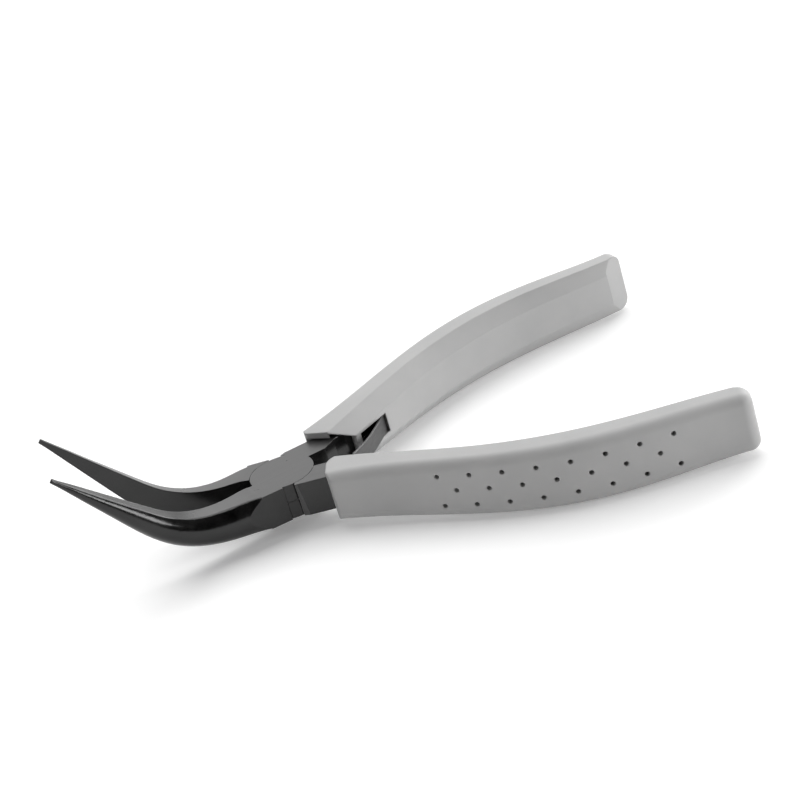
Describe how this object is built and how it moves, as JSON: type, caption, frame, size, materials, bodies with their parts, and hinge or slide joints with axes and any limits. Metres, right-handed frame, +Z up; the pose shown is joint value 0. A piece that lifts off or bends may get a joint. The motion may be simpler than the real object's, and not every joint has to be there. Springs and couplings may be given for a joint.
{
  "type": "bent needle nose pliers",
  "caption": "Bent long-nose pliers with a lap joint, tapering half-round jaws, moulded grips with a field of small holes, and paired leaf springs that hold the handles open.",
  "frame": {"origin": "middle of the bounding box in X and Y, on the surface the grips rest on", "axes": "+X from the nose to the handle ends along the tool's middle line, +Y towards handle A, +Z up along the pivot axis, the way the nose bends"},
  "size_m": [0.1432, 0.0928, 0.0339],
  "materials": {
    "steel": "blackened forged steel, satin ground top faces",
    "rivet": "blackened steel, ground flush",
    "grip": "light grey moulded plastic, fine matte",
    "spring": "spring steel, satin",
    "pin": "plain steel pin"
  },
  "bodies": {
    "handle_a": {"half_a": "steel", "grip_a": "grip", "pivot_rivet": "rivet", "spring_pin_a": "pin"},
    "handle_b": {"half_b": "steel", "grip_b": "grip", "spring_pin_b": "pin"},
    "leaf_a": {"leaf_spring_a": "spring"},
    "leaf_b": {"leaf_spring_b": "spring"}
  },
  "joints": [
    {"name": "pivot", "type": "hinge", "parent": "handle_a", "child": "handle_b", "pos_m": [-0.02386, 0, 0.00743], "axis": [0, 0, 1], "range_deg": [-19, 24.8], "stiffness_Nm_per_rad": 0.6},
    {"name": "leaf_a_turn", "type": "hinge", "parent": "handle_a", "child": "leaf_a", "pos_m": [0.00214, 0.01401, 0.00743], "axis": [0, 0, 1], "range_deg": [-16.2, 12.8]},
    {"name": "leaf_b_turn", "type": "hinge", "parent": "handle_b", "child": "leaf_b", "pos_m": [0.00214, -0.01401, 0.00743], "axis": [0, 0, 1], "range_deg": [-12.8, 16.2]}
  ],
  "couplings": [
    {"joint": "leaf_a_turn", "follows": "pivot", "ratio": -0.65},
    {"joint": "leaf_b_turn", "follows": "pivot", "ratio": 0.65}
  ]
}
